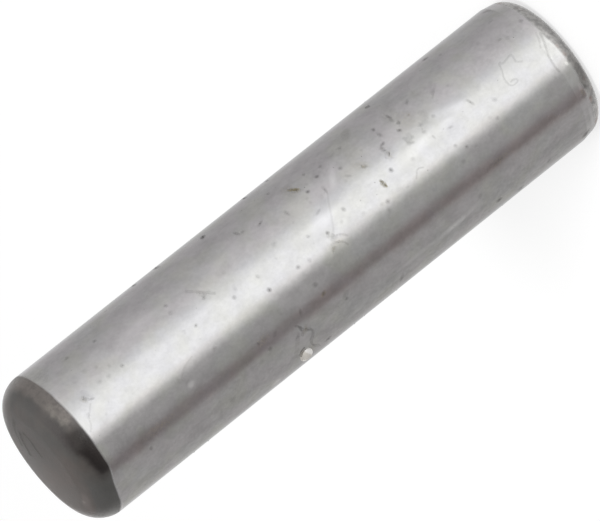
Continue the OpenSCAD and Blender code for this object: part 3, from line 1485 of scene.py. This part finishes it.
def place_fleck(pin, master, height, bearing, length, width, turn):
    """Copies a fleck to a place on the pin, nearly half sunk in."""
    point, normal = seat(pin, height, bearing)
    thick = FLECK_THICKNESS * min(length, width)
    place = seat_matrix(point + normal * thick * FLECK_RISE * MM, normal, turn)
    return copy_at(master, place, (length, width, thick))


class MakeGrit(Operator):
    """Lays dark grains in the smudges, and stray ones all over"""

    bl_idname = "dowel_pin.make_grit"
    bl_label = "Grit"

    def execute(self, context):
        pin = bpy.data.objects["pin"]
        look = context.scene.dirt_look
        scatter = random.Random(look.seed)
        masters = [model_fleck(f"grain_{seed}", seed) for seed in range(3)]
        parts = []
        for height, bearing, size in GRAINS:
            wide = size * scatter.uniform(0.7, 1.0)
            turn = scatter.uniform(0, 180)
            parts.append(place_fleck(pin, scatter.choice(masters), height, bearing, size, wide, turn))
        for _ in range(look.stray_grains):
            parts.append(self.stray(pin, masters, scatter))
        declare(join_as("grit", parts), grit_material(look))
        remove(masters)
        return {"FINISHED"}

    def stray(self, pin, masters, scatter):
        """One small grain: mostly round the back, and only tiny ones in front."""
        bearing = scatter.uniform(-180, 180)
        height = scatter.uniform(*GRAIN_HEIGHTS)
        size = scatter.uniform(*(BACK_GRAINS if abs(bearing) > BACK_BEARING else FRONT_GRAINS))
        wide = size * scatter.uniform(0.6, 1.0)
        turn = scatter.uniform(0, 180)
        return place_fleck(pin, scatter.choice(masters), height, bearing, size, wide, turn)


def mark_vertices(piece, group, wanted):
    """Puts the vertices that a test picks into a vertex group."""
    picked = [vertex.index for vertex in piece.data.vertices if wanted(vertex.co)]
    piece.vertex_groups.new(name=group).add(picked, 1.0, "REPLACE")


def new_density(piece):
    """Adds the density of dirt to a mesh, and gives its shares, one for each vertex."""
    return piece.data.attributes.new(DENSITY_NAME, "FLOAT", "POINT").data


def model_smudge(name, seed):
    """A thin ragged disc, one unit across, densest at its middle."""
    radius = 0.5
    thickness = 0.05
    rim_width = 0.02
    ring_width = 0.14

    def on_skin(place):
        return place.z > thickness / 2 and place.to_2d().length < radius - rim_width / 2

    select_nothing()
    bpy.ops.mesh.primitive_circle_add(vertices=12, radius=radius, fill_type="NGON")
    smudge = bpy.context.active_object
    smudge.name = name
    edit_all()
    bpy.ops.mesh.extrude_region_move(TRANSFORM_OT_translate={"value": (0, 0, thickness)})
    bpy.ops.mesh.inset(thickness=rim_width)
    for _ in range(3):
        bpy.ops.mesh.inset(thickness=ring_width)
    bpy.ops.mesh.select_all(action="SELECT")
    bpy.ops.mesh.normals_make_consistent(inside=False)
    select_only(smudge)
    bpy.ops.object.shade_smooth()
    mark_vertices(smudge, "rim", lambda place: not on_skin(place))
    mark_vertices(smudge, "skin", on_skin)
    for vertex, dense in zip(smudge.data.vertices, new_density(smudge)):
        reach = min(1.0, vertex.co.to_2d().length / (radius - rim_width))
        dense.value = (1 - reach**2) ** 1.5
    edit_all()
    bpy.ops.transform.vertex_random(offset=SMUDGE_RAGGEDNESS, seed=seed)
    select_only(smudge)
    return smudge


def place_smudge(pin, master, height, bearing, length, width, turn, dense):
    """Copies a smudge to a place on the pin and gives it its density."""
    point, normal = seat(pin, height, bearing)
    twin = copy_at(master, seat_matrix(point, normal, turn), (length, width, SMUDGE_THICKNESS))
    for share in twin.data.attributes[DENSITY_NAME].data:
        share.value *= dense
    return twin


def wrap_on_pin(piece, pin, offset, group=""):
    """Lays a piece's vertices on the pin, at an offset in mm from its surface."""
    select_only(piece)
    wrap = piece.modifiers.new("wrap", "SHRINKWRAP")
    wrap.target = pin
    wrap.wrap_method = "NEAREST_SURFACEPOINT"
    wrap.wrap_mode = "ABOVE_SURFACE"
    wrap.offset = offset * MM
    wrap.vertex_group = group
    bpy.ops.object.modifier_apply(modifier=wrap.name)


def lay_smudges(name, pin, parts, lift, material):
    """Joins smudges and lays them on the pin, with their rims sunk in."""
    smudges = join_as(name, parts)
    wrap_on_pin(smudges, pin, lift, "skin")
    wrap_on_pin(smudges, pin, -RIM_DEPTH, "rim")
    declare(smudges, material)


class MakeSmudges(Operator):
    """Lays soft smudges of oily dirt on the wall, and faint stray ones all over"""

    bl_idname = "dowel_pin.make_smudges"
    bl_label = "Smudges"

    def execute(self, context):
        pin = bpy.data.objects["pin"]
        look = context.scene.dirt_look
        scatter = random.Random(look.seed + 1)
        masters = [model_smudge(f"smudge_{seed}", seed) for seed in range(4)]
        parts = []
        for strength, places in SPOTS.items():
            for height, bearing in places:
                size = SPOT_SIZE * scatter.uniform(0.85, 1.15)
                wide = size * scatter.uniform(0.75, 1.0)
                spot = (height, bearing, size, wide, scatter.uniform(0, 180))
                parts.append(place_smudge(pin, scatter.choice(masters), *spot, DENSITY[strength]))
        for strength, places in BLOTCHES.items():
            for blotch in places:
                parts.append(place_smudge(pin, scatter.choice(masters), *blotch, DENSITY[strength]))
        for _ in range(look.stray_smudges):
            parts.append(self.stray(pin, masters, scatter))
        material = smudge_material("smudge", look.smudge, SMUDGE_ROUGHNESS)
        lay_smudges("smudges", pin, parts, SMUDGE_LIFT, material)
        remove(masters)
        return {"FINISHED"}

    def stray(self, pin, masters, scatter):
        """One faint smudge: small in front, and larger and darker round the back."""
        bearing = scatter.uniform(-180, 180)
        height = scatter.uniform(*SMUDGE_HEIGHTS)
        turn = scatter.uniform(0, 180)
        behind = abs(bearing) > BACK_BEARING
        size = scatter.uniform(*(BACK_SMUDGES if behind else FRONT_SMUDGES))
        dense = scatter.uniform(*(BACK_DENSITY if behind else FRONT_DENSITY))
        wide = size * scatter.uniform(0.5, 1.0)
        return place_smudge(pin, scatter.choice(masters), height, bearing, size, wide, turn, dense)


class MakeRust(Operator):
    """Lays the brown stains on the wall"""

    bl_idname = "dowel_pin.make_rust"
    bl_label = "Rust Flecks"

    def execute(self, context):
        pin = bpy.data.objects["pin"]
        look = context.scene.dirt_look
        scatter = random.Random(look.seed + 2)
        masters = [model_smudge(f"stain_{seed}", seed) for seed in (21, 22)]
        parts = []
        for strength, places in STAINS.items():
            for stain in places:
                dense = STAIN_DENSITY[strength]
                parts.append(place_smudge(pin, scatter.choice(masters), *stain, dense))
        material = smudge_material("rust_brown", look.rust, RUST_ROUGHNESS)
        lay_smudges("rust_flecks", pin, parts, STAIN_LIFT, material)
        remove(masters)
        return {"FINISHED"}


def smooth_chain(chain):
    """Turns a chain of points into a smooth one with more points."""
    select_only(chain)
    bpy.ops.object.convert(target="CURVE")
    bpy.ops.object.mode_set(mode="EDIT")
    bpy.ops.curve.select_all(action="SELECT")
    bpy.ops.curve.spline_type_set(type="BEZIER")
    bpy.ops.curve.handle_type_set(type="AUTOMATIC")
    bpy.ops.object.mode_set(mode="OBJECT")
    chain.data.resolution_u = 6
    bpy.ops.object.convert(target="MESH")


def on_wall(pin, points):
    """Places on the wall from their heights and bearings."""
    return [seat(pin, height, bearing)[0] for height, bearing in points]


def on_crown(pin, points):
    """Places on the crown from their x and y in mm."""
    above = [Vector((x * MM, y * MM, PIN_HIGH.z)) for x, y in points]
    return [pin.closest_point_on_mesh(place)[1] for place in above]


def model_thread(pin, name, width, dense, places, tall):
    """A thin smooth thread along places on the pin, resting on it and densest along its crest.

    tall is its height as a share of a round thread's.
    """
    thread = start_point(name, places[0])
    for start, end in zip(places, places[1:]):
        extrude_line(end - start)
    smooth_chain(thread)
    wrap_on_pin(thread, pin, width * THREAD_LIFT)
    bpy.ops.object.convert(target="CURVE")
    thread.data.bevel_depth = width / 2 * MM
    thread.data.bevel_resolution = 1
    thread.data.use_fill_caps = True
    bpy.ops.object.convert(target="MESH")
    bpy.ops.object.shade_smooth()
    crest = width * (0.5 + THREAD_LIFT) * MM
    for vertex, share in zip(thread.data.vertices, new_density(thread)):
        _, point, normal, _ = pin.closest_point_on_mesh(vertex.co)
        above = vertex.co - point
        share.value = dense * max(0.0, min(1.0, above.dot(normal) / crest)) ** 2
        vertex.co = point + above * tall
    return thread


def lay_threads(name, threads, places_of, tall=1.0):
    """Models the threads of one list as one piece, from the places of their points."""
    pin = bpy.data.objects["pin"]
    parts = []
    for label, (width, dense, points) in threads.items():
        parts.append(model_thread(pin, label, width, dense, places_of(pin, points), tall))
    return join_as(name, parts)


class MakeFibres(Operator):
    """Lays lint fibres on the wall"""

    bl_idname = "dowel_pin.make_fibres"
    bl_label = "Fibres"

    def execute(self, context):
        lint = smudge_material("fibre", context.scene.dirt_look.fibre, FIBRE_ROUGHNESS)
        declare(lay_threads("fibres", FIBRES, on_wall), lint)
        return {"FINISHED"}


class MakeScratches(Operator):
    """Lays the fine dark scratches on the crown"""

    bl_idname = "dowel_pin.make_scratches"
    bl_label = "Crown Scratches"

    def execute(self, context):
        dirt = smudge_material("scratch", context.scene.dirt_look.scratch, SCRATCH_ROUGHNESS)
        scratches = lay_threads("crown_scratches", CROWN_LINES, on_crown, SCRATCH_TALL)
        declare(scratches, dirt)
        return {"FINISHED"}


class MakeFilm(Operator):
    """Lays the edges of dried oil film on the wall, one partly painted shade along the bead's rim"""

    bl_idname = "dowel_pin.make_film"
    bl_label = "Film Edges"

    def execute(self, context):
        oil = smudge_material("oil_film", context.scene.dirt_look.film, FILM_ROUGHNESS)
        declare(lay_threads("film_edges", FILM_EDGES, on_wall), oil)
        return {"FINISHED"}


class MakeBead(Operator):
    """Sets the bead of set oil on the wall"""

    bl_idname = "dowel_pin.make_bead"
    bl_label = "Oil Bead"

    def execute(self, context):
        select_nothing()
        bpy.ops.mesh.primitive_uv_sphere_add(segments=40, ring_count=20, radius=0.5)
        bead = bpy.context.active_object
        edit_all()
        bpy.ops.mesh.bisect(plane_co=BEAD_CUT, plane_no=(0, 0, 1), use_fill=True, clear_inner=True)
        bpy.ops.mesh.select_all(action="SELECT")
        bpy.ops.transform.vertex_random(offset=BEAD_RAGGEDNESS, seed=4)
        bpy.ops.mesh.normals_make_consistent(inside=False)
        point, normal = seat(bpy.data.objects["pin"], BEAD_HEIGHT, BEAD_BEARING)
        bead.matrix_world = seat_matrix(point, normal, BEAD_TURN) @ sizing(BEAD_SIZE)
        select_only(bead)
        bpy.ops.object.shade_smooth_by_angle(angle=BEAD_SHARP_ANGLE)
        declare(join_as("oil_bead", [bead]), bead_material(context.scene.dirt_look))
        return {"FINISHED"}


# ----------------------------------------------------------------------------------------------
# The studio
# ----------------------------------------------------------------------------------------------


def ring_ramp(bearing, levels):
    """The studio's brightness at a bearing, from a list of levels."""
    ramp = add(bearing.tree, "ValToRGB")
    feed(ramp.inputs["Fac"], bearing / 360 + 0.5)
    stops = ramp.color_ramp.elements
    while len(stops) < len(levels):
        stops.new(1.0)
    for stop, (angle, level, tint) in zip(stops, levels):
        stop.position = angle / 360 + 0.5
        stop.color = shaded(TINTS[tint], level)
    return outputs_of(ramp).color


def studio_panels(bearing, rise):
    """What steel and oil mirror: soft panels, by bearing and by rise in thousandths."""
    swing = between(rise, *LEAD_RISES) * between(bearing, *LEAD_SIDE) * LEAD_SWING
    low = ring_ramp(bearing - swing, RING_LOW)
    high = scaled(ring_ramp(bearing, RING_HIGH), ease(rise, *HIGH_BRIGHTENS))
    panels = mix(ease(rise, *LOW_TO_HIGH), low, high)
    behind = ease(abs(bearing), *BEHIND)
    steep = ease(rise, *STEEP_ENDS, 1.0, 0.0)
    under = behind * ease(rise, *UNDER_ENDS)
    panels = scaled(panels, steep * (under * UNDER_GAIN + STEEP_GAIN) + 1)
    backlight = behind * between(rise, *BACKLIGHT_RISES)
    return scaled(panels, backlight * BACKLIGHT_GAIN + 1)


def build_world(look):
    """White to the camera, even light on dull surfaces, and soft panels for steel and oil."""
    world = bpy.data.worlds.new("studio")
    bpy.context.scene.world = world
    world.use_nodes = True
    world.cycles.sampling_method = "NONE"
    tree = world.node_tree
    direction = pin_place(outputs_of(add(tree, "TexCoord")).generated)
    path = outputs_of(add(tree, "LightPath"))
    mirrored = calc("MAXIMUM", path.is_glossy_ray, path.is_transmission_ray)
    panels = studio_panels(direction.bearing, direction.height)
    lit = mix(mirrored, rgba((look.sky_level,) * 3), panels)
    background = next(node for node in tree.nodes if node.type == "BACKGROUND")
    feed(background.inputs["Color"], mix(path.is_camera_ray, lit, WHITE))
    feed(background.inputs["Strength"], 1.0)


def plain_shader(tree, kind, colour):
    """A diffuse or glowing shader of one colour."""
    node = add(tree, kind)
    feed(node.inputs["Color"], colour)
    return Value(node.outputs[0])


def floor_material(look):
    """Pale floor that keeps the pin's shadow and fades into the white backdrop."""
    material = bpy.data.materials.new("floor")
    material.use_nodes = True
    tree = material.node_tree
    tree.nodes.clear()
    pale = plain_shader(tree, "BsdfDiffuse", rgba(look.floor))
    dull = plain_shader(tree, "BsdfDiffuse", shaded(WHITE, FLOOR_DULL))
    glow = plain_shader(tree, "Emission", shaded(WHITE, FLOOR_GLOW))
    backdrop = plain_shader(tree, "Emission", WHITE)
    place = outputs_of(add(tree, "TexCoord")).object
    away = worked("VectorMath", "Value", {0: place}, operation="LENGTH")
    near = worked("AddShader", 0, {0: dull, 1: glow})
    seen = worked("MixShader", 0, {0: ease(away, *FLOOR_FADE), 1: near, 2: backdrop})
    camera_ray = outputs_of(add(tree, "LightPath")).is_camera_ray
    both = worked("MixShader", 0, {0: camera_ray, 1: pale, 2: seen})
    feed(add(tree, "OutputMaterial").inputs["Surface"], both)
    return material


def build_floor(look):
    """A large round floor under the pin, which the steel doesn't mirror."""
    select_nothing()
    bpy.ops.mesh.primitive_circle_add(vertices=128, radius=look.floor_radius, fill_type="NGON")
    floor = bpy.context.active_object
    floor.name = "floor"
    edit_all()
    bpy.ops.mesh.inset(thickness=look.floor_radius * 0.5)
    select_only(floor)
    floor.data.materials.append(floor_material(look))
    floor.visible_glossy = False
    floor.visible_transmission = False


def build_key_lamp(look):
    """A soft lamp above the front, whose shadow falls straight back."""
    select_nothing()
    bpy.ops.object.light_add(type="AREA", location=LAMP_PLACE)
    lamp = bpy.context.active_object
    lamp.name = "key_lamp"
    lamp.data.shape = "DISK"
    lamp.data.size = LAMP_SIZE
    lamp.data.energy = look.key_power
    lamp.visible_glossy = False
    lamp.visible_camera = False
    aim = Vector(LAMP_AIM) - lamp.location
    lamp.rotation_euler = aim.to_track_quat("-Z", "Y").to_euler()


def build_camera(look):
    """A long lens at the pin's middle, turned so that the crown points down to the left."""
    select_nothing()
    bpy.ops.object.camera_add()
    camera = bpy.context.active_object
    camera.name = "camera"
    camera.data.sensor_width = SENSOR_WIDTH
    camera.data.lens = look.camera_lens
    camera.data.clip_start = 0.01
    tilt = Matrix.Rotation(pi / 2 - look.camera_elevation, 4, "X")
    roll = Matrix.Rotation(look.camera_roll, 4, "Z")
    place = Vector(look.camera_aim) + tilt @ Vector((0, 0, look.camera_distance))
    camera.matrix_world = Matrix.Translation(place) @ tilt @ roll
    bpy.context.scene.camera = camera


class SetStage(Operator):
    """Builds the floor, the lamp, the studio's light and the camera"""

    bl_idname = "dowel_pin.set_stage"
    bl_label = "Stage"

    def execute(self, context):
        look = context.scene.studio_look
        build_world(look)
        build_floor(look)
        build_key_lamp(look)
        build_camera(look)
        context.scene.view_settings.view_transform = "Standard"
        return {"FINISHED"}


# ----------------------------------------------------------------------------------------------
# Panel and registration
# ----------------------------------------------------------------------------------------------


class DowelPinPanel(Panel):
    """Lists the pieces in the sidebar"""

    bl_idname = "VIEW3D_PT_dowel_pin"
    bl_label = "Dowel Pin"
    bl_space_type = "VIEW_3D"
    bl_region_type = "UI"
    bl_category = "Dowel Pin"

    def draw(self, context):
        column = self.layout.column(align=True)
        for step in STEPS:
            column.operator(step.bl_idname)


SETTINGS = {
    "pin_sizes": PinSizes,
    "pin_finish": PinFinish,
    "dirt_look": DirtLook,
    "studio_look": StudioLook,
}
STEPS = (
    MakePin,
    MakeSmudges,
    MakeGrit,
    MakeRust,
    MakeFibres,
    MakeScratches,
    MakeFilm,
    MakeBead,
    SetStage,
)


def register():
    """Registers the settings, the operators and the panel."""
    for kind in (*SETTINGS.values(), *STEPS, DowelPinPanel):
        bpy.utils.register_class(kind)
    for name, kind in SETTINGS.items():
        setattr(bpy.types.Scene, name, PointerProperty(type=kind))


def unregister():
    """Takes them away again."""
    for name in SETTINGS:
        delattr(bpy.types.Scene, name)
    for kind in reversed((*SETTINGS.values(), *STEPS, DowelPinPanel)):
        bpy.utils.unregister_class(kind)


def run(step):
    """Runs one operator by its id, and stops if it doesn't finish."""
    category, name = step.bl_idname.split(".")
    result = getattr(getattr(bpy.ops, category), name)()
    if result != {"FINISHED"}:
        raise RuntimeError(f"{step.bl_idname} didn't finish")


def main():
    """Builds everything."""
    register()
    for step in STEPS:
        run(step)


if __name__ == "__main__":
    main()
